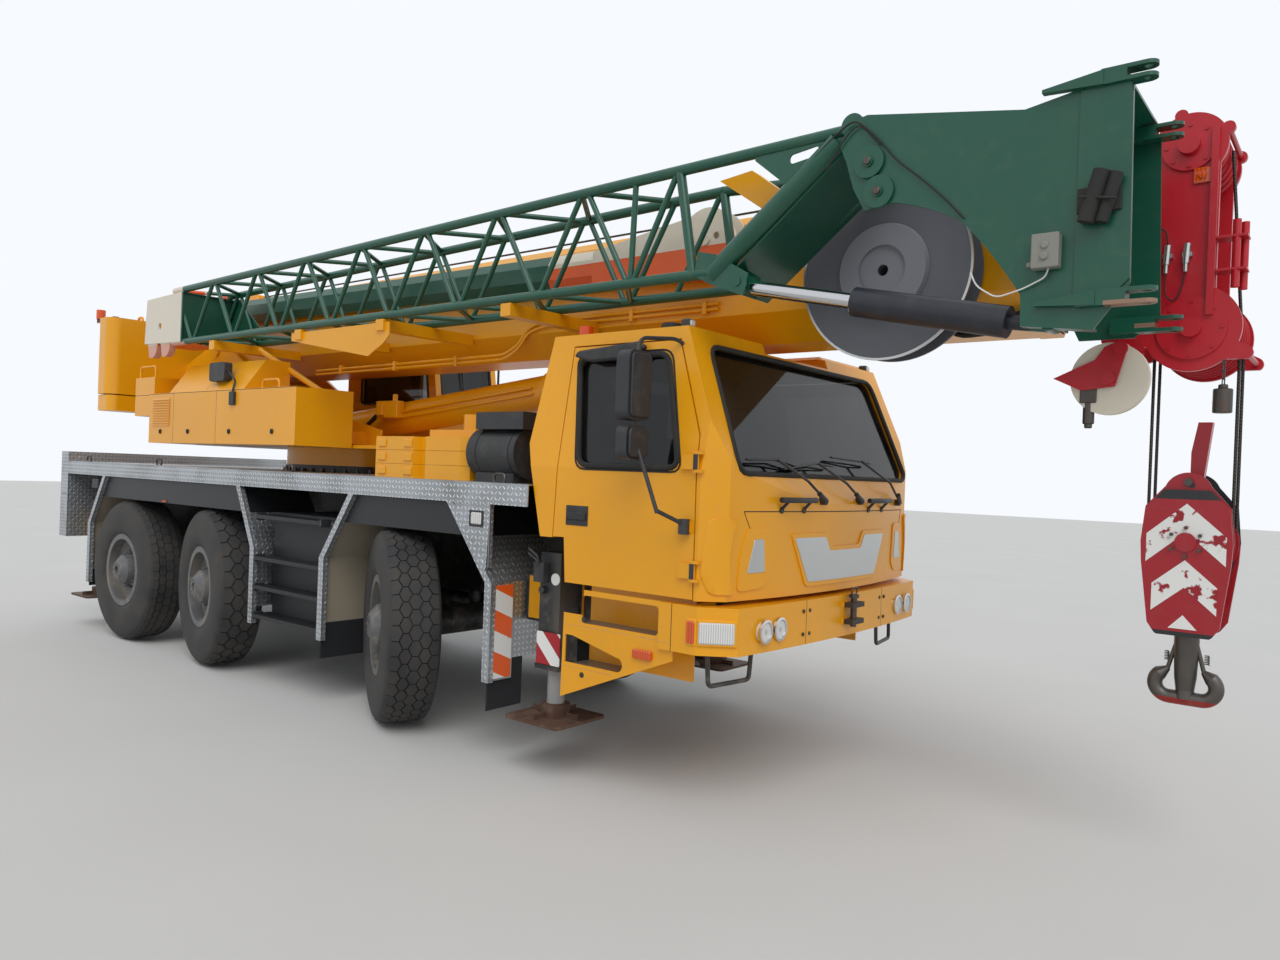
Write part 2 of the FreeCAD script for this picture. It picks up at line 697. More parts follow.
def cab_hull(inset):
    """The cab's outer form, or the same form set in by a wall's thickness."""
    floor = s.cab_floor_z + inset
    roof = s.cab_roof_z - inset
    side = [(2177 + inset, floor), (2156 + inset, 1435 + inset), (1966 + inset, 1433 + inset),
            (1834 + inset, 1989), (1950 + inset, roof), (2945 - inset, roof),
            (s.cab_front_x - 70 - inset * 1.1, 1830), (s.cab_front_x - inset, 1690),
            (s.cab_front_x - inset, floor)]
    half = s.cab_half_width - inset
    plan = [(1800, -half), (3120, -half), (3235 - inset, -half + 110), (s.cab_front_x - inset, 0, 0),
            (3235 - inset, half - 110), (3120, half), (1800, half)]
    across = [(-half, floor - 5), (-half, 1850), (-half + 85, roof), (half - 85, roof), (half, 1850),
              (half, floor - 5)]
    side_prism = prism("xz", side, -half - 5, half + 5)
    plan_prism = prism("xy", plan, floor - 5, roof + 5)
    across_prism = prism("yz", across, 1780, s.cab_front_x + 20)
    return common(common(side_prism, plan_prism), across_prism)


# Door outline and window on the right side, as X and Z.
DOOR = ((2182, 1180), (3095, 1180), (3087, 2041), (2897, 2560), (2127, 2560), (2074, 1441), (2162, 1441))
WINDOW = ((2255, 1865), (2973, 1865), (2833, 2490), (2180, 2490))


def grown(points, amount, centre):
    """The same outline, larger by about that much all round."""
    rows = []
    for u, v in points:
        rows.append((u + amount * math.copysign(1, u - centre[0]), v + amount * math.copysign(1, v - centre[1])))
    return rows


# Hinges of the cab doors, outside the skin: heights of their middles.
HINGE_Z = (1330, 1900)


def hinge_fixed(z):
    """Pin and its two lugs on the post in front of the right door."""
    x, y = s.hinge_x, -s.hinge_y
    reach = s.hinge_length / 2
    pin = rod("z", z - reach, z + reach, (x, y), s.hinge_pin)
    lugs = []
    for start in (z - reach - 16, z + reach):
        lugs.append(block((x - 12, x + 40), (y - 12, y + 12), (start, start + 16)))
        lugs.append(block((x + 8, x + 40), (y, -s.cab_half_width + 2), (start, start + 16)))
    return fuse(pin, *lugs)


def hinge_moving(z):
    """Knuckle and strap on the right door."""
    x, y = s.hinge_x, -s.hinge_y
    reach = s.hinge_length / 2 - s.seat_gap
    knuckle_tube = rod("z", z - reach, z + reach, (x, y), s.hinge_pin + 16)
    strap = block((x - 90, x), (y - 6, y + 8), (z - reach, z + reach))
    pad = block((x - 90, x - 30), (y, -s.cab_half_width + 2), (z - reach, z + reach))
    bore = rod("z", z - reach - 1, z + reach + 1, (x, y), s.hinge_pin + 2 * s.pin_clearance)
    return cut(fuse(knuckle_tube, strap, pad), bore)


def cab_panes(gap):
    """Space of the windscreen and of the rear window, each smaller by a gap all round."""
    low, high = s.cab_half_width - 160 - gap, s.cab_half_width - 230 - gap
    screen = [(-low, 1850 + gap), (low, 1850 + gap), (high, 2545 - gap), (-high, 2545 - gap)]
    wide = s.cab_half_width / 2 - gap
    rear = [(-wide, 2080 + gap), (wide, 2080 + gap), (wide, 2480 - gap), (-wide, 2480 - gap)]
    return (prism("yz", rounded(screen, 90 - gap), 2905, s.cab_front_x + 60),
            prism("yz", rounded(rear, 60 - gap), 1700, 2060))


def build_cab():
    shell = cut(cab_hull(0), cab_hull(s.cab_wall))
    middle = (2600, 1850)
    out = s.cab_half_width + 10
    opening = grown(DOOR, s.door_gap, middle)
    sides = both(prism("xz", opening, -out, -out + 140))
    trough = block((1700, s.cab_front_x), (-s.trough_half_width, s.trough_half_width),
                   (s.cab_roof_z - s.trough_depth, s.cab_roof_z + 20))
    lining = block((1960, 2900), (-s.trough_half_width - s.cab_wall, s.trough_half_width + s.cab_wall),
                   (s.cab_roof_z - s.trough_depth - s.cab_wall, s.cab_roof_z - 5))
    screen, rear = cab_panes(0)
    hinges = []
    for z in HINGE_Z:
        hinges += both(hinge_fixed(z))
    shell = cut(fuse(shell, common(lining, cab_hull(1))), *sides, trough, screen, rear)
    sub_part("cab_shell", fuse(shell, *hinges))
    pane_depth = s.cab_wall / 2
    leaf = cut(cab_hull(pane_depth), cab_hull(pane_depth + s.glass))
    sub_part("cab_glass", group(*[common(leaf, pane) for pane in cab_panes(s.seat_gap)]))
    panel = common(cut(cab_hull(0), cab_hull(s.cab_wall)), prism("xz", list(DOOR), -out, -out + 135))
    hole = prism("xz", rounded(WINDOW, 55), -out, -out + 140)
    door = cut(panel, hole)
    glass = common(leaf, prism("xz", rounded(grown(WINDOW, -s.seat_gap, (2600, 2150)), 55 - s.seat_gap),
                               -out, -out + 135))
    arm = link((3060, -s.cab_half_width - 8, 1560), (2990, -1430, 1640), 22)
    post = link((2990, -1430, 1630), (2830, -1435, 2010), 22)
    stem = link((2830, -1435, 2000), (2830, -1435, 2300), 22)
    head = prism("yz", rounded([(-1530, 2106), (-1340, 2106), (-1340, 2470), (-1530, 2470)], 45), 2765, 2850)
    wide = prism("yz", rounded([(-1525, 1900), (-1350, 1900), (-1350, 2080), (-1525, 2080)], 45), 2772, 2845)
    mount = block((3030, 3070), (-s.cab_half_width - 20, -s.cab_half_width + 4), (1530, 1590))
    right_door = fuse(door, mount, arm, post, stem, head, wide, *[hinge_moving(z) for z in HINGE_Z])
    right = sub_part("cab_door_right", right_door)
    sub_part("cab_door_left", mirrored(right))
    right_glass = sub_part("door_glass_right", glass)
    sub_part("door_glass_left", mirrored(right_glass))


def build_interior():
    """Seats, floor and dashboard, seen through the glass."""
    half = s.cab_half_width - s.cab_wall - 70
    pieces = []
    for y in (-700, 700):
        seat = block((2250, 2700), (y - 240, y + 240), (1480, 1680))
        back = block((2180, 2300), (y - 240, y + 240), (1680, 2330))
        pieces.append(fuse(seat, back))
    dash = block((2950, 3140), (-half, half), (1500, 1800))
    floor = block((2230, 3150), (-half, half), (s.cab_floor_z + s.cab_wall, 1255))
    pedestals = [block((2350, 2600), (y - 160, y + 160), (1255, 1480)) for y in (-700, 700)]
    stand = block((3000, 3100), (-300, 300), (1255, 1500))
    sub_part("cab_interior", fuse(*pieces, *pedestals, floor, stand, dash))


def build_bumper():
    """Bumper, its corners and the two steps on each side."""
    half = s.cab_half_width + 25
    front = s.bumper_front_x
    back = front - 480
    plan = [(back, -half), (front - 230, -half), (front - 60, -half + 130), (front, 0, 0),
            (front - 60, half - 130), (front - 230, half), (back, half), (back, half - 60),
            (front - 240, half - 60), (front - 200, half - 160), (front - 200, -half + 160),
            (front - 240, -half + 60), (back, -half + 60)]
    bar = prism("xy", plan, s.bumper_bottom_z, s.bumper_top_z)
    side = s.cab_half_width
    shelf = side - s.step_depth
    step_side = [(2180, 513), (2980, 840), (2980, 1130), (2900, s.bumper_top_z), (2337, s.bumper_top_z),
                 (2337, 1005), (2186, 1005)]
    skirt = prism("xz", step_side, -side, -side + s.skin * 2)
    upper = block((2190, 2960), (-side, -shelf), (s.upper_step_z, s.upper_step_z + 8))
    lower = block((2190, 2560), (-side, -shelf), (s.lower_step_z, s.lower_step_z + 8))
    gap_high = rounded([(2330, 960), (2880, 960), (2880, 1120), (2330, 1120)], 25)
    gap_low = [(2205, 720), (2600, 720), (2640, 760, 0), (2600, 800), (2260, 880), (2205, 880)]
    gaps = [prism("xz", row, -side - 5, -side + 20) for row in (gap_high, gap_low)]
    inner = block((2190, 2960), (-shelf - 8, -shelf), (s.lower_step_z, s.bumper_top_z))
    arm = block((2600, 2700), (-shelf - 4, -s.frame_half_width), (940, 1060))
    steps_side = fuse(cut(skirt, *gaps), upper, lower, inner, arm)
    beam = block((s.frame_front_x, front - 180), (-700, 700), (940, 1100))
    jaw = block((front - 150, front + 70), (-75, 75), (975, 1105))
    mouth = block((front + 2, front + 75), (-80, 80), (1005, 1075))
    pin_hole = rod("z", 960, 1120, (front + 36, 0), s.tow_pin)
    sub_part("bumper", cut(fuse(bar, beam, jaw, *both(steps_side)), mouth, pin_hole,
                           *round_lamps(s.seat_gap)))


def round_lamps(clearance):
    """The round lamps of the bumper, or the pockets that they sit in."""
    pieces = []
    for side in (-1, 1):
        for y in (930, 780):
            start = s.bumper_front_x - 70 - clearance
            pieces.append(rod("x", start, s.bumper_front_x - 16, (side * y, s.lamp_z),
                              s.lamp_diameter + 2 * clearance))
    return pieces


def build_lamps():
    """Head lamps and indicators in the bumper, the tail lamps, and the beacons on the roof."""
    pieces = round_lamps(0)
    for side in (-1, 1):
        beacon_y = side * 1000
        pieces.append(rod("z", s.cab_roof_z, s.cab_roof_z + 75, (2060, beacon_y), 90))
        tail = (side * 1150 - 90, side * 1150 + 90)
        pieces.append(block((s.rear_end_x - 20, s.rear_end_x), tail, (1000, 1080)))
    sub_part("lamps", group(*pieces))


def build_engine():
    """Carrier engine on its feet, transfer box, and the shafts to the axles."""
    inner = s.frame_half_width - s.rail_width
    engine = [block((760, 1830), (-290, 290), (s.frame_bottom_z + 290, 1690))]
    for x in (900, 1600):
        engine.append(block((x, x + 80), (-inner, inner), (s.frame_bottom_z + 310, s.frame_bottom_z + 370)))
    shafts = []
    ends = ((s.axle_3_x + s.nose_reach, s.axle_2_x - s.nose_reach), (s.axle_2_x + s.nose_reach, -700),
            (-300, s.axle_1_x - s.nose_reach))
    for start, end in ends:
        shafts.append(rod("x", start, end, (-90, s.shaft_z), 90))
    box = block((-700, -300), (-230, 230), (s.shaft_z - 150, s.frame_bottom_z + 350))
    foot = block((-560, -440), (-inner, inner), (s.frame_bottom_z + 100, s.frame_bottom_z + 180))
    sub_part("driveline", group(fuse(*engine), fuse(box, foot, *shafts[1:]), shafts[0]))


def build_deck_load():
    """Slabs of counterweight stacked on the deck behind the cab, and the air cleaner beside them."""
    plan = [(170, -985), (410, -380), (1150, -380), (1150, -1100), (1100, -1150), (740, -1150), (720, -1085),
            (620, -1085), (600, -1150), (170, -1150)]
    slabs = []
    base = s.deck_top_z + s.seat_gap
    for index in range(3):
        low = base + index * 98
        slabs.append(prism("xy", plan, low, low + 96))
    for x in (480, 980):
        slabs.append(rod("z", base, base + 3 * 98, (x, -760), 150))
    slabs.append(block((640, 1130), (-1040, -500), (base + 292, base + 345)))
    slabs.append(rod("z", base + 290, 2200, (860, -800), 190))
    sub_part("deck_slabs", group(*both(fuse(*slabs))))
    drum = rod("x", 1190, 1640, (-1010, 1930), 330)
    saddle = block((1230, 1590), (-1120, -900), (s.deck_top_z + s.seat_gap, 1800))
    intake = block((1250, 1690), (-1150, -900), (2080, 2190))
    neck = rod("z", 2000, 2100, (1330, -1010), 140)
    sub_part("air_cleaner", fuse(drum, saddle, intake, neck))


def foot_plate(x, y):
    """A jack's square foot with its cup and four ribs."""
    half = s.pad_size / 2
    low = s.pad_bottom_z
    plate = prism("xy", rounded([(x - half, y - half), (x + half, y - half), (x + half, y + half),
                                 (x - half, y + half)], 40), low, low + 18)
    cup = rod("z", low + 18, low + 90, (x, y), 180)
    ribs = [block((x - half + 40, x + half - 40), (y - 6, y + 6), (low + 16, low + 50)),
            block((x - 6, x + 6), (y - half + 40, y + half - 40), (low + 16, low + 50))]
    return fuse(plate, cup, *ribs)


def build_outriggers():
    """Four beams that slide out sideways, each with a jack that lowers its foot plate."""
    for place, right_x in OUTRIGGERS:
        for side, word, x in ((-1, "right", right_x), (1, "left", right_x - s.beam_pitch)):
            xs, z = beam_space(x, 0)
            ends = (side * (s.jack_y + s.jack_tube / 2), -side * s.beam_inner_y)
            housing_y = (side * s.jack_y - s.jack_tube / 2, side * s.jack_y + s.jack_tube / 2)
            inner_end = side * (s.jack_y - s.jack_tube / 2)
            beam_y = (min(inner_end, ends[1]), max(inner_end, ends[1]))
            beam = block(xs, beam_y, z)
            housing = block((x - s.jack_tube / 2, x + s.jack_tube / 2), housing_y, (620, 1330))
            foot_ring = block((x - s.jack_tube / 2 - 12, x + s.jack_tube / 2 + 12),
                              (housing_y[0] - 12, housing_y[1] + 12), (620, 650))
            bore = rod("z", 600, 1300, (x, side * s.jack_y), s.jack_rod + 2 * s.pin_clearance)
            sub_part(f"outrigger_{place}_{word}", cut(fuse(beam, housing, foot_ring), bore))
            rod_shape = rod("z", s.pad_bottom_z + 60, 1290, (x, side * s.jack_y), s.jack_rod)
            sub_part(f"jack_{place}_{word}", fuse(rod_shape, foot_plate(x, side * s.jack_y)))


def build_turntable():
    """Floor on the moving half of the ring, and the cheeks that carry the boom's foot pin."""
    ring = rod("z", s.ring_split_z, s.table_bottom_z, (s.slew_x, 0), s.ring_diameter)
    floor_top = s.table_bottom_z + s.table_plate
    floor = block((s.slew_x - 1850, s.slew_x + 1500), (-s.cheek_y - 250, s.cheek_y + 250),
                  (s.table_bottom_z, floor_top))
    cheek = [(s.slew_x + 900, s.table_bottom_z), (s.slew_x + 900, 2120), (s.slew_x - 900, 2500),
             (s.luff_x + 260, s.luff_z + 20), (s.luff_x, s.luff_z + 170, 0), (s.luff_x - 260, s.luff_z + 20),
             (s.tail_x, s.luff_z - 120), (s.tail_x, s.tail_clear_z), (s.slew_x - 2060, s.tail_clear_z),
             (s.slew_x - 1850, s.table_bottom_z)]
    cheeks = both(prism("xz", cheek, -s.cheek_y, -s.cheek_y + s.cheek_plate))
    pin = both(rod("y", -s.cheek_y - 20, -s.boom_half_width + s.boom_wall, (s.luff_x, s.luff_z), s.luff_pin))
    lugs = []
    for side in (-1, 1):
        y = (side * 100, side * 140)
        lugs.append(block((s.ram_x - 110, s.ram_x + 110), (min(y), max(y)), (floor_top, s.ram_z + 110)))
    ram_pin = rod("y", -140, 140, (s.ram_x, s.ram_z), s.ram_pin)
    winch = rod("y", -s.cheek_y + s.cheek_plate, s.cheek_y - s.cheek_plate, (-4130, 2460), 380)
    sub_part("turntable", fuse(ring, floor, *cheeks, *pin, *lugs, ram_pin, winch))


def build_hood():
    """Cover of the upper engine on the right, with its bevelled upper part."""
    lower = block((-3400, -810), (-1220, -700), (s.table_bottom_z, 2420))
    upper = prism("yz", [(-1218, 2418), (-1023, 2692), (-800, 2692), (-800, 2418)], -3000, -1630)
    rear = block((-3820, -3400), (-1180, -900), (s.tail_clear_z, 2590))
    bracket = block((-3300, -1000), (-702, -s.cheek_y), (1990, 2100))
    pipe = link((-2150, -800, 2828), (-1100, -800, 2414), 50)
    sub_part("hood", fuse(lower, upper, rear, bracket, pipe))


def build_operator_cab():
    """Operator's cab on the left of the boom: a hollow shell with its panes, and a sliding door."""
    front = s.operator_cab_x
    foot = s.table_bottom_z + s.table_plate
    side = [(front - 1500, foot), (front - 120, foot), (front, 2250), (front - 180, 3400),
            (front - 1400, 3400), (front - 1500, 2700)]
    inner = [(front - 1455, foot + 45), (front - 150, foot + 45), (front - 47, 2255), (front - 220, 3355),
             (front - 1365, 3355), (front - 1455, 2690)]
    shell = cut(prism("xz", side, 470, 1250), prism("xz", inner, 515, 1205))
    windows = [block((front - 200, front + 10), (540, 1180), (2300, 3300)),
               prism("xz", [(front - 1250, 2450), (front - 150, 2450), (front - 270, 3280),
                            (front - 1250, 3280)], 460, 1260)]
    doorway = block((front - 1050, front - 250), (1190, 1260), (2050, 3300))
    seat = [(front - 1330, foot + 45), (front - 900, foot + 45), (front - 860, foot + 420), (front - 860, foot + 520),
            (front - 1230, foot + 520), (front - 1290, 3100), (front - 1380, 3080), (front - 1350, foot + 400)]
    sub_part("operator_cab", fuse(cut(shell, *windows, doorway), prism("xz", seat, 630, 1090)))
    gap = s.seat_gap
    pane = prism("xz", [(front - 28, 2300 + gap), (front - 22, 2300 + gap), (front - 178, 3300 - gap),
                        (front - 184, 3300 - gap)], 540 + gap, 1180 - gap)
    sub_part("operator_glass", pane)
    frame = block((front - 1100, front - 220), (1250 + gap, 1274), (2010, 3320))
    window = block((front - 1020, front - 300), (1240, 1280), (2450, 3240))
    sub_part("operator_door", cut(frame, window))


def build_counterweight():
    """Counterweight across the tail, in two stacked slabs with plates behind."""
    back = s.weight_rear_x + 210

    def slab(x, half, corner, z):
        plan = rounded([(x[0], -half), (x[1], -half), (x[1], half), (x[0], half)], corner)
        return prism("xy", plan, *z)

    lower = slab((back, s.tail_x), 1200, 90, (2283, 2444))
    joint = block((back + 60, s.tail_x - 60), (-1140, 1140), (2440, 2460))
    upper = slab((back, s.tail_x), 1215, 120, (2456, 3250))
    rear = slab((s.weight_rear_x, back + 60), 1100, 50, (2470, 3100))
    bar = block((-5100, back + 100), (-1080, -1030), (3250, 3290))
    beacon = rod("z", 3290, 3390, (-5060, -1055), 90)
    sub_part("counterweight", fuse(lower, joint, upper, rear, bar, beacon))


def boom_face(index):
    """Outline of boom section 1, the largest, to 5, and its hollow."""
    shrink = (index - 1) * s.boom_step
    rows = []
    for inset in (shrink, shrink + s.boom_wall):
        half = s.boom_half_width - inset
        top = s.boom_top_z - inset
        low = s.boom_bottom_z + inset
        bevel = s.boom_bevel * half / s.boom_half_width
        chamfer = s.boom_chamfer
        rows.append([(-half, low + bevel), (-half + bevel, low), (half - bevel, low), (half, low + bevel),
                     (half, top - chamfer), (half - chamfer, top), (-half + chamfer, top),
                     (-half, top - chamfer)])
    return rows


def boom_front(index):
    """Where a boom section's front end lies when the boom is in."""
    return s.boom_front_x + (index - 1) * s.boom_stagger


def boom_rear(index):
    """Where a boom section's rear end lies when the boom is in."""
    return s.boom_rear_x + (index - 1) * 90


def wear_pads(index):
    """Pads in a section's mouth and on the next section's tail, which that section slides on."""
    play = s.boom_step - s.boom_wall - s.seat_gap
    low = s.boom_bottom_z + (index - 1) * s.boom_step + s.boom_wall
    top = s.boom_top_z - index * s.boom_step
    front = boom_front(index)
    rear = boom_rear(index + 1)
    mouth = block((front - 180, front - 20), (-125, -50), (low, low + play))
    tail = block((rear + 20, rear + 180), (-125, -50), (top, top + play))
    return both(mouth), both(tail)


def jib_supports():
    """What carries the stowed jib beside the boom: cross bars, a tray and an upright arm."""
    seat = s.lattice_low_z - s.chord / 2 - s.seat_gap
    side = -s.boom_half_width + 4
    pieces = []
    for x in (s.rest_1_x, -900, 180, s.rest_2_x):
        pieces.append(block((x, x + 90), (-s.jib_outer_y, side), (seat - 80, seat)))
    tray = [(-976, seat - 20), (-976, 2788), (67, 2614), (258, 2704), (314, 2754), (314, seat - 20)]
    pieces.append(prism("xz", tray, -s.jib_outer_y + 20, -s.jib_outer_y + 32))
    pieces.append(block((3290, 3390), (-1010, side), (3235, 3330)))
    pieces.append(prism("xz", [(3290, 3245), (3390, 3330), (3215, 3462), (3010, 3440)], -1010, -930))
    return pieces


def build_boom():
    """Outer section on the foot pin, and the three sections inside it."""
    tail = []
    for index in (1, 2, 3, 4):
        outer, inner = boom_face(index)
        rear, front = boom_rear(index), boom_front(index)
        tube = cut(prism("yz", outer, rear, front), prism("yz", inner, rear - 1, front + 1))
        mouth, next_tail = wear_pads(index)
        if index == 1:
            eye = rod("y", -s.boom_half_width - 15, s.boom_half_width + 15, (s.luff_x, s.luff_z), 260)
            hollow = rod("y", -s.boom_half_width + s.boom_wall, s.boom_half_width - s.boom_wall,
                         (s.luff_x, s.luff_z), 300)
            bore = rod("y", -s.cheek_y - 30, s.cheek_y + 30, (s.luff_x, s.luff_z),
                       s.luff_pin + 2 * s.pin_clearance)
            lugs = []
            low = s.boom_bottom_z + 3
            for side in (-1, 1):
                y = (side * 110, side * 150)
                lugs.append(prism("xz", [(s.ram_eye_x - 200, low), (s.ram_eye_x - 90, s.ram_eye_z - 60),
                                         (s.ram_eye_x + 90, s.ram_eye_z - 60), (s.ram_eye_x + 200, low)],
                                  min(y), max(y)))
            tube = cut(fuse(cut(fuse(tube, eye), hollow), *lugs, *jib_supports()), bore)
        sub_part(f"boom_{index}", fuse(tube, *mouth, *tail))
        tail = next_tail
    return tail


def sheave(x, y, z, diameter):
    """A grooved rope wheel on a shaft along Y."""
    wide = s.sheave_width / 2
    rim_radius = diameter / 2
    floor = rim_radius - s.groove_depth
    rows = ((-wide, 40), (-wide, rim_radius), (-s.rope * 0.7, floor), (s.rope * 0.7, floor),
            (wide, rim_radius), (wide, 40))
    return revolve("y", rows, (x, y, z))


def side_sheave():
    """The auxiliary rope wheel that hangs folded back on the right of the head."""
    y = -s.head_half_width - 95
    x, z = s.sheave_x - 315, s.sheave_z - 235
    wheel = revolve("y", ((-22, 30), (-22, 172), (-8, 155), (8, 155), (22, 172), (22, 30)), (x, y, z))
    plate = [(x - 246, z + 6), (x - 120, z - 55), (x + 30, z - 40), (x + 75, z + 130), (x + 40, z + 175),
             (x - 20, z + 150), (x - 60, z + 90)]
    plates = [prism("xz", plate, y + offset, y + offset + 10) for offset in (-40, 30)]
    shaft = rod("y", y - 50, y + 50, (x, z), 64)
    pivot = rod("y", y - 50, -s.head_half_width + 10, (x + 50, z + 140), 60)
    ear = prism("xz", rounded([(x - 62, z + 185), (x + 50, z + 100), (x + 130, z + 120), (x + 110, z + 240),
                               (x - 62, z + 235)], 20), -s.head_half_width - 22, -s.head_half_width)
    return [wheel, *plates, shaft, pivot, ear]


def build_head(tail_pads):
    """Sheave head: two side plates, cross plates, and the upper and lower sheaves on their shafts."""
    half = s.head_half_width
    low, high = (s.sheave_x, s.sheave_z), (s.top_sheave_x, s.top_sheave_z)
    front = low[0] + 90
    plate = [(4730, 2700), (4800, 2560), (4850, 2490), (4960, 2520), (front, 2560), (front, 3500),
             (5000, 3500), (4930, 3440), (4730, 3400)]
    pieces = []
    for y in (-half, half - s.head_plate):
        discs = [rod("y", y, y + s.head_plate, low, s.sheave_diameter + 20),
                 rod("y", y, y + s.head_plate, high, s.top_sheave_diameter + 20)]
        pieces.append(fuse(prism("xz", plate, y, y + s.head_plate), *discs))
    for (x, z), size, boss in ((low, s.sheave_diameter, 290), (high, s.top_sheave_diameter, 230)):
        pieces.append(rod("y", -half - 12, half + 12, (x, z), boss))
        pieces.append(rod("y", -half - 45, half + 45, (x, z), 90))
        for y in (-150, -75, 0, 75, 150):
            pieces.append(sheave(x, y, z, size))
    for side in (-1, 1):
        y = (side * (half + 28), side * (half - 4))
        pieces.append(block((front - 34, front - 4), (min(y), max(y)), (2655, 3517)))
    tip = s.head_front_x
    lug = [(low[0] + 110, low[1] - 150), (low[0] + 170, low[1] - 60), (tip - 15, low[1] - 95),
           (tip, low[1] - 122.5, 0), (tip - 15, low[1] - 150)]
    guards = ((high[0] - 40, high[1] + 150), (high[0] + 150, high[1] + 60), (tip - 28, low[1] - 122))
    for y in (-half, half - s.head_plate):
        pieces.append(prism("xz", lug, y, y + s.head_plate))
        for x, z in guards[:2]:
            pieces.append(rod("y", y, y + s.head_plate, (x, z), 56))
    for x, z in guards:
        pieces.append(rod("y", -half, half, (x, z), 24))
    for x, y in ((front + 75, -half - 8), (front + 100, -half + 60)):
        pieces.append(rod("z", 2772, 3079, (x, y), 34))
    for z in (2850, 3000):
        pieces.append(block((front - 20, front + 120), (-half - 26, -half + 78), (z, z + 10)))
    outer, inner = boom_face(5)
    tube = prism("yz", outer, s.boom_rear_x + 360, 4750)
    pieces.append(cut(tube, prism("yz", inner, s.boom_rear_x + 350, 4735)))
    pieces.append(rod("y", -half, half, (4850, 3000), 120))
    welded = fuse(*pieces, *side_sheave(), *tail_pads)
    welded.Refine = False
    sub_part("boom_head", welded)


def ram_line():
    """Direction and length of the luffing cylinder from its foot pin to its rod eye."""
    run = Vector(s.ram_eye_x - s.ram_x, 0, s.ram_eye_z - s.ram_z)
    return run


def build_ram():
    """Luffing cylinder: barrel on the turntable's pin, rod with its eye under the boom."""
    run = ram_line()
    along = Vector(run).normalize()
    foot = Vector(s.ram_x, 0, s.ram_z)
    tube_start, tube_end = 170, run.Length - s.ram_neck
    tube = Part.makeCylinder(s.ram_tube / 2, tube_end - tube_start, foot + along * tube_start, along)
    collar = Part.makeCylinder(s.ram_tube / 2 + 18, 90, foot + along * (tube_end - 90), along)
    eye = Part.makeCylinder(125, 190, Vector(s.ram_x, -95, s.ram_z), Vector(0, 1, 0))
    neck = Part.makeCylinder(90, 120, foot + along * 80, along)
    bore = Part.makeCylinder(s.ram_pin / 2 + s.pin_clearance, 300, Vector(s.ram_x, -150, s.ram_z),
                             Vector(0, 1, 0))
    hollow_start = s.ram_dead_end - 20
    hollow = Part.makeCylinder(s.ram_rod / 2 + s.pin_clearance, tube_end, foot + along * hollow_start, along)
    sub_part("ram_barrel", solid(tube.fuse([collar, eye, neck]).cut(bore).cut(hollow)))
    rod_end = run.Length - 60
    bar = Part.makeCylinder(s.ram_rod / 2, rod_end - hollow_start - 20, foot + along * (hollow_start + 20),
                            along)
    tip = Vector(s.ram_eye_x, 0, s.ram_eye_z)
    rod_eye = Part.makeCylinder(110, 190, tip - Vector(0, 95, 0), Vector(0, 1, 0))
    tip_bore = Part.makeCylinder(s.ram_pin / 2, 300, tip - Vector(0, 150, 0), Vector(0, 1, 0))
    sub_part("ram_rod", solid(bar.fuse(rod_eye).cut(tip_bore)))


def build_reel():
    """Hose reel on the right side of the boom."""
    face = -s.reel_y
    radius = s.reel_diameter / 2
    profile = ((0, 30), (0, 130), (-18, 130), (-18, 240), (12, 250), (12, radius), (30, radius), (30, 260),
               (190, 260), (190, radius - 10), (205, radius - 10), (205, 60),
               (-face - s.boom_half_width, 60), (-face - s.boom_half_width, 30))
    sub_part("reel", revolve("y", profile, (s.reel_x, face, s.reel_z)))


def fork(root_x, tip_x, z, y):
    """Two flat prongs with round ends and one upright bore, for a pin; z holds the outer faces."""
    half = 36
    plan = [(root_x, y - half), (tip_x - half, y - half), (tip_x, y, 0), (tip_x - half, y + half),
            (root_x, y + half)]
    slot = block((tip_x - 105, tip_x + 5), (y - half - 5, y + half + 5), (z[0] + 15, z[1] - 15))
    bore = rod("z", z[0] - 5, z[1] + 5, (tip_x - half, y), 32)
    return cut(prism("xy", plan, z[0], z[1]), slot, bore)


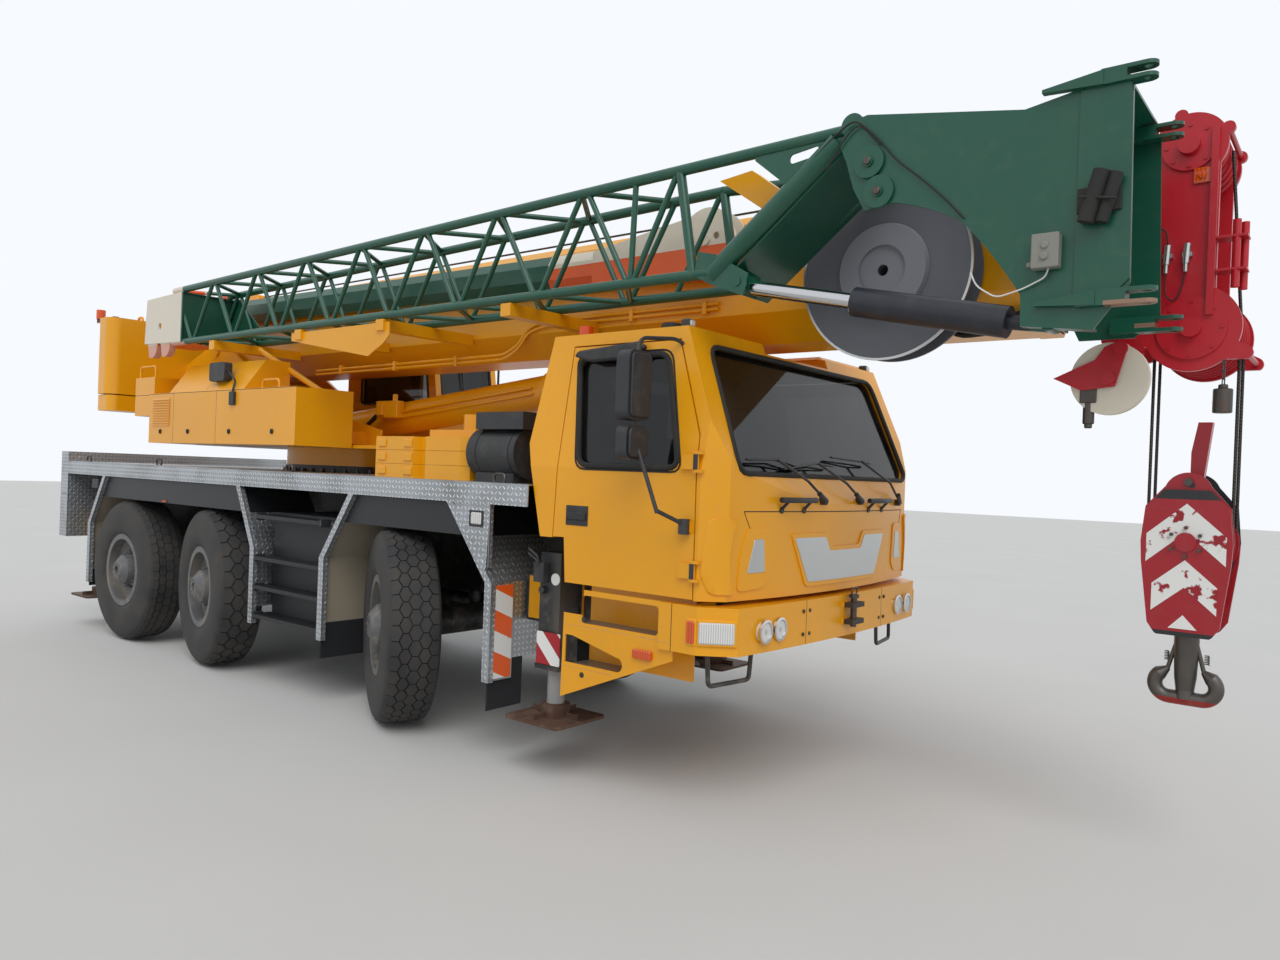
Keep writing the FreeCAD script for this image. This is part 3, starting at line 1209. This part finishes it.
def jib_head():
    """Two large plates that meet the boom's head, with forks at their four corners."""
    y = -s.jib_outer_y
    inner_y = -s.jib_inner_y - s.jib_plate
    cut_out = [(4677, 2631), (4546, 2824, 0), (4412, 2981), (4250, 3060, 0), (4105, 3105)]
    outer = [(3958, 3535), (4667, 3405), (5055, 3470), (5075, 3410), (5089, 2642), (4961, 2466),
             (4681, 2500)] + cut_out + [(3960, 3090), (3900, 3200), (3860, 3330), (3820, 3420), (3880, 3520)]
    pieces = [prism("xz", outer, y, y + s.jib_plate)]
    inner = [(4350, 3462), (4667, 3405), (5040, 3450), (5066, 3396), (5090, 2617), (4990, 2520), (4760, 2520),
             (4677, 2700), (4350, 3200)]
    pieces.append(prism("xz", inner, inner_y, inner_y + s.jib_plate))
    doubler = [(4885, 3430), (5060, 3455), (5076, 3380), (5088, 2660), (4990, 2560), (4885, 2560)]
    pieces.append(prism("xz", doubler, y - 8, y + 2))
    pieces.append(prism("xz", [(4667, 3393), (4667, 3405), (5050, 3470), (5050, 3458)], y, inner_y + 4))
    pieces.append(prism("xz", [(4700, 2560), (4712, 2560), (4712, 3400), (4700, 3400)], y + 4, inner_y + 4))
    pieces.append(prism("xz", [(4681, 2500), (4961, 2466), (4961, 2478), (4681, 2512)], y + 2, y + 70))
    corners = (
        (4960, 5158, (3430, 3492), y + 10), (4900, 5184, (2558, 2622), y + 10),
        (4960, 5158, (3385, 3447), inner_y - 20), (4900, 5184, (2536, 2604), inner_y - 20),
    )
    for root, tip, z, at_y in corners:
        pieces.append(fork(root, tip, z, at_y))
    for z in ((3440, 3480), (2570, 2612)):
        taper = [(4740, z[0] + 4), (4970, z[0] - 10), (4970, z[1] + 8), (4740, z[0] + 18)]
        pieces.append(prism("xz", taper, y - 30, y + 4))
    for x, z, size in ((3978, 3310, 150), (4030, 3165, 150)):
        pieces.append(rod("y", y - 16, y + 4, (x, z), size))
        pieces.append(rod("y", y - 26, y + 4, (x, z), 50))
    return pieces


def zigzag(first, second):
    """Braces to and fro between two chords, from the lattice's front end to its rear."""
    step = s.lattice_pitch / 2
    x = s.lattice_front_x
    chords = (first, second)
    bars = []
    while x - step > s.lattice_rear_x:
        bars.append(link(chords[0](x - s.brace * 0.7), chords[1](x - step + s.brace * 0.7), s.brace))
        chords = chords[::-1]
        x = x - step
    return bars


def lattice():
    """Four chords with braces on all four faces, and the struts from it to the head piece."""
    near = -s.jib_outer_y + s.chord / 2 + 4
    far = -s.lattice_inner_y - s.chord / 2
    low_z = s.lattice_low_z
    rear = s.lattice_rear_x
    front = s.lattice_front_x
    head_y = -s.jib_inner_y - s.chord / 2 - 4
    reel_side = -s.reel_y - 90

    def top_z(x):
        return s.lattice_top_z - 60 + 110 * (x - rear) / (3900 - rear)

    def near_low(x):
        return x, near, low_z

    def near_top(x):
        return x, near, top_z(x)

    def far_low(x):
        return x, far, low_z

    def far_top(x):
        return x, far, top_z(x)

    bars = [link(near_low(rear), near_low(s.strut_x + 30), s.chord),
            link(far_low(rear), far_low(s.strut_x + 30), s.chord),
            link(near_top(rear), near_top(3900), s.chord),
            link(far_top(rear), far_top(front + 325), s.chord),
            link(far_top(front + 325), (4380, head_y, 3420), s.chord),
            link((s.strut_x, near, low_z - 15), (3800, near, 3450), 105),
            link((s.strut_x, far, low_z - 15), (3860, reel_side, 3445), 90),
            link((3870, near, 3490), (3870, reel_side + 45, 3441), 60)]
    for first, second in ((near_low, near_top), (far_top, far_low), (near_low, far_low), (far_top, near_top)):
        bars += zigzag(first, second)
    bars.append(link(near_low(front), near_top(front + 15), s.brace))
    bars.append(link(near_low(front + 15), near_top(front + 310), s.brace))
    bars.append(link(far_low(front), far_top(front + 310), s.brace))
    for low, top in ((near_low, near_top), (far_low, far_top)):
        bars.append(link(top(front + 325), low(front + 435), 54))
    return bars


def strut_plates():
    """Plates where the struts meet the chords, the wheel over them, and the cylinder's clevis."""
    y = -s.jib_outer_y
    base = [(2990, 2890), (3010, 3017), (3124, 2990), (3330, 2870), (3304, 2757), (3098, 2835)]
    pieces = [prism("xz", base, y + 10, y + 20), prism("xz", base, y + 128, y + 138)]
    corner = [(3340, 3440), (3521, 3290), (3600, 3300), (3850, 3450), (3850, 3500), (3340, 3480)]
    window = rounded([(3540, 3385), (3700, 3405), (3700, 3452), (3540, 3432)], 20)
    pieces.append(cut(prism("xz", corner, y + 22, y + 32), prism("xz", window, y + 15, y + 40)))
    under = [(3120, 2830), (3130, 2822), (3840, 3402), (3830, 3410)]
    pieces.append(prism("xz", under, y + 40, -s.reel_y - 60))
    pieces.append(rod("y", y + 4, y + 44, (3880, 3505), 112))
    pieces.append(rod("y", y + 4, y + 150, (3262, 2834), 50))
    return pieces


def jib_root():
    """The box at the rear of the lattice: a channel open to the rear, with two ears below."""
    y = -s.jib_outer_y
    inn = -s.lattice_inner_y
    rear = s.lattice_rear_x
    low, high = 2896, 3361
    outline_root = [(rear - 548, low + 20), (rear + 220, low), (rear + 220, high), (rear - 520, high - 20)]
    window = rod("y", y - 5, y + 30, (rear - 226, 3069), 60)
    side = cut(prism("xz", outline_root, y, y + 12), window)
    pieces = [side]
    pieces.append(prism("xz", [(rear - 548, low + 18), (rear + 220, low), (rear + 220, low + 12),
                               (rear - 548, low + 30)], y, inn))
    pieces.append(prism("xz", [(rear - 520, high - 32), (rear + 220, high - 12), (rear + 220, high),
                               (rear - 520, high - 20)], y, inn))
    pieces.append(block((rear + 190, rear + 202), (y, inn), (low, high)))
    pieces.append(prism("xz", [(rear + 190, low), (rear + 950, low), (rear + 330, high), (rear + 190, high)],
                        inn - 8, inn))
    for x in (rear - 500, rear - 230):
        pieces.append(prism("xz", [(x, low + 30), (x + 40, low - 110), (x + 120, low - 118, 0), (x + 190, low - 60),
                                   (x + 210, low + 20)], y + 10, y + 70))
    return pieces


def jib_fly():
    """Slimmer second jib stowed against the boom: a tapered eight-sided tube and its forked head."""
    def section(x, low, high, half):
        middle = -455
        rise = (high - low) * 0.28
        rows = [(middle - half, low + rise), (middle - half * 0.5, low), (middle + half * 0.5, low),
                (middle + half, low + rise), (middle + half, high - rise), (middle + half * 0.5, high),
                (middle - half * 0.5, high), (middle - half, high - rise)]
        return outline("yz", rows, x)

    tube = solid(Part.makeLoft([section(-3600, 3205, 3420, 66), section(1800, 3090, 3335, 75)], True, True))
    head = [(1660, 3110), (1660, 3320), (2480, 3440), (2680, 3455), (2790, 3256), (2780, 3050), (2500, 3060)]
    pieces = [tube]
    for y in (-530, -395):
        cheek = fuse(prism("xz", head, y, y + 12), rod("y", y, y + 12, (2595, 3280), 400))
        pieces.append(cut(cheek, rod("y", y - 5, y + 20, (2668, 3300), 44)))
    pieces.append(revolve("y", ((-22, 30), (-22, 160), (-8, 142), (8, 142), (22, 160), (22, 30)),
                          (2595, -455, 3280)))
    pieces.append(rod("y", -545, -375, (2595, 3280), 64))
    for x in (-2500, 1500):
        pieces.append(block((x, x + 90), (-400, -s.boom_half_width), (3190, 3270)))
    return fuse(*pieces)


def build_jib():
    """Stowed lattice jib on the right: head piece with two plates, the lattice behind, and the fly."""
    y = -s.jib_outer_y
    welded = weld_on(lattice(), (jib_head(), strut_plates(), jib_root()))
    barrel = link((4610, y + 85, 2535), (3892, y + 85, 2686), 140)
    bar = link((3892, y + 85, 2686), (3285, y + 85, 2814), 76)
    eye = rod("y", y + 45, y + 125, (3262, 2834), 100)
    eye_bore = rod("y", y + 40, y + 130, (3262, 2834), 50 + 2 * s.seat_gap)
    neck = link((4790, y + 85, 2510), (4610, y + 85, 2535), 64)
    barrel_pin = rod("y", y + s.jib_plate, y + 120, (4790, 2512), 70)
    cylinder = cut(fuse(barrel, bar, eye, neck, barrel_pin), eye_bore)
    sub_part("jib", group(welded, cylinder))
    sub_part("jib_fly", jib_fly())


def hook_horns():
    """The forged double hook: two curved horns, the bridge between them, the shank and two latches."""
    centre = s.sheave_x
    radius, thick = 62, 34
    middle_z = s.hook_bottom_z + radius + thick
    low = s.block_bottom_z
    pieces = [rod("x", centre - 68, centre + 68, (0, middle_z - radius), 2 * thick)]
    for side, start in ((1, 180), (-1, 130)):
        x = centre + side * 68
        horn = Part.makeTorus(radius, thick, Vector(), Vector(0, 0, 1), 0, 360, 230)
        turn = Rotation(Vector(1, 0, 0), 90) * Rotation(Vector(0, 0, 1), start)
        horn.Placement = Placement(Vector(x, 0, middle_z), turn)
        pieces.append(solid(horn))
        end = math.radians(50)
        base = Vector(x + side * radius * math.cos(end), 0, middle_z + radius * math.sin(end))
        along = Vector(-side * math.sin(end), 0, math.cos(end))
        pieces.append(solid(Part.makeCone(thick, 12, 46, base, along)))
        tip = base + along * 40
        pieces.append(link((centre + side * 44, 0, low - 55), tip, 20))
    shank = ((middle_z - radius, 0), (middle_z - radius, 44), (middle_z - 20, 40), (middle_z + 40, 48),
             (low - 70, 54), (low + 30, 54), (low + 30, 0))
    pieces.append(revolve("z", shank, (centre, 0, 0)))
    return pieces


def build_hook():
    """Falls of rope from the head sheaves, and the block with its double hook."""
    ropes = []
    radius = s.sheave_diameter / 2 - s.groove_depth + s.rope / 2 + s.seat_gap
    top = s.block_top_z
    low = s.block_bottom_z
    centre = s.sheave_x
    shaft_z = top - s.block_sheave_drop
    for x in (centre - radius, centre + radius):
        for y in (-75, 75):
            ropes.append(rod("z", shaft_z, s.sheave_z, (x, y), s.rope))
    sub_part("falls", group(*ropes))
    half = [(95, top - 83), (175, top - 171), (190, top - 333), (185, top - 433), (150, low + 53),
            (120, low + 8), (110, low)]
    cheek = [(centre + u, v) for u, v in half] + [(centre - u, v) for u, v in reversed(half)]
    guard = [(centre - 95, top - 65), (centre, top, 0), (centre + 95, top - 65), (centre + 178, top - 165),
             (centre + 192, top - 333), (centre + 150, top - 500), (centre - 150, top - 500),
             (centre - 192, top - 333), (centre - 178, top - 165)]
    pieces = []
    for side in (-1, 1):
        for row, y in ((cheek, (side * 135, side * 160)), (guard, (side * 124, side * 136))):
            pieces.append(prism("xz", row, min(y), max(y)))
    for y in (-75, 75):
        pieces.append(sheave(centre, y, shaft_z, s.sheave_diameter))
    pieces.append(rod("y", -172, 172, (centre, shaft_z), 90))
    for x, z in ((centre + 146, shaft_z + 148), (centre - 146, shaft_z + 148), (centre, top - 45),
                 (centre + 120, low + 90), (centre - 120, low + 90)):
        pieces.append(rod("y", -140, 140, (x, z), 24))
    pieces.append(block((centre - 90, centre + 90), (-140, 140), (low + 20, low + 150)))
    socket = [(centre - 10, top - 80), (centre + 40, top - 80), (centre + 75, top + 245),
              (centre + 15, top + 245), (centre - 10, top + 100)]
    pieces.append(prism("xz", socket, -30, 30))
    pieces.append(rod("y", -140, 140, (centre + 15, top - 60), 24))
    sub_part("hook_block", fuse(*pieces, *hook_horns()))


def check_and_export():
    """Stop on a failed feature or a broken shape, then write each piece to its own file."""
    document.recompute()
    for feature in document.Objects:
        if "Invalid" in feature.State or "Error" in feature.State:
            raise RuntimeError(f"{feature.Name} {feature.Label} failed: {feature.State}")
    os.makedirs("parts", exist_ok=True)
    for name, feature in parts.items():
        shape = feature.Shape
        if shape.isNull() or not shape.isValid() or not shape.Solids:
            raise RuntimeError(f"{name} has no valid solid")
        shape.exportStep(f"parts/{name}.step")
    print(len(parts), "sub-parts")


build_wheels()
build_axles()
build_chassis()
build_deck()
build_fenders()
build_cab()
build_interior()
build_bumper()
build_lamps()
build_engine()
build_deck_load()
build_outriggers()
build_turntable()
build_hood()
build_operator_cab()
build_counterweight()
build_head(build_boom())
build_ram()
build_reel()
build_jib()
build_hook()
check_and_export()
